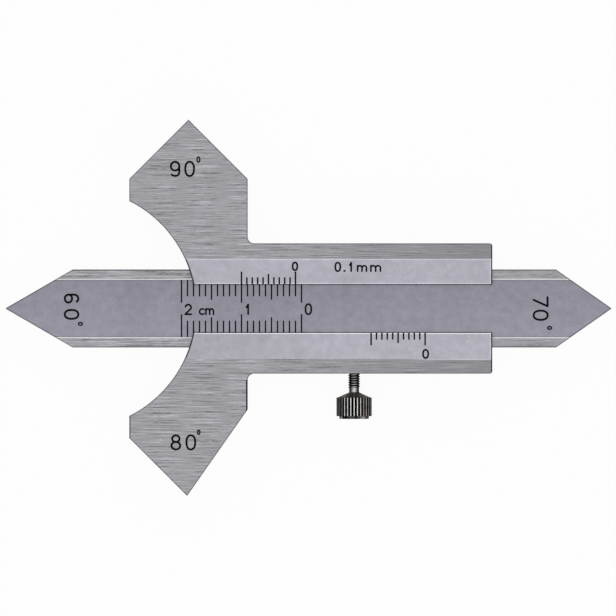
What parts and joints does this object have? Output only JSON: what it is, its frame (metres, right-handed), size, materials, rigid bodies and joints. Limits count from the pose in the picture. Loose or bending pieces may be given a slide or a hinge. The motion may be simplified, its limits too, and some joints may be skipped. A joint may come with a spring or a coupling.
{
  "type": "weld gauge",
  "caption": "Pocket weld gauge with a double-pointed slide, vernier scales, angled arms and a knurled clamp screw.",
  "frame": {"origin": "on the slide's axis, at the middle of its length in this pose, in the plane of the body's back face", "axes": "+X along the slide towards its 70 degree tip, +Y towards the 90 degree arm, +Z out of the graduated front face"},
  "size_m": [0.1009, 0.0626, 0.0065],
  "materials": {
    "body_steel": "ground along the slide, satin bevels",
    "slide_steel": "ground edge strips, matte band",
    "gib_brass": "as rolled",
    "screw_steel": "black oxide"
  },
  "bodies": {
    "gauge_body": {"gauge_body": "body_steel"},
    "slide": {"slide": "slide_steel"},
    "gib_strip": {"gib_strip": "gib_brass"},
    "clamp_screw": {"clamp_screw": "screw_steel"}
  },
  "joints": [
    {"name": "slide_travel", "type": "slide", "parent": "gauge_body", "child": "slide", "axis": [1, 0, 0], "range_m": [-0.001, 0.0406]},
    {"name": "gib_travel", "type": "slide", "parent": "gauge_body", "child": "gib_strip", "axis": [0, -1, 0], "range_m": [0, 0.0004]},
    {"name": "screw_turn", "type": "hinge", "parent": "gib_strip", "child": "clamp_screw", "pos_m": [0.0076, -0.0109, 0.00308], "axis": [0, -1, 0], "range_deg": [0, 360]}
  ],
  "couplings": [
    {"joint": "screw_turn", "follows": "gib_travel", "rad_per_m": 15708}
  ]
}
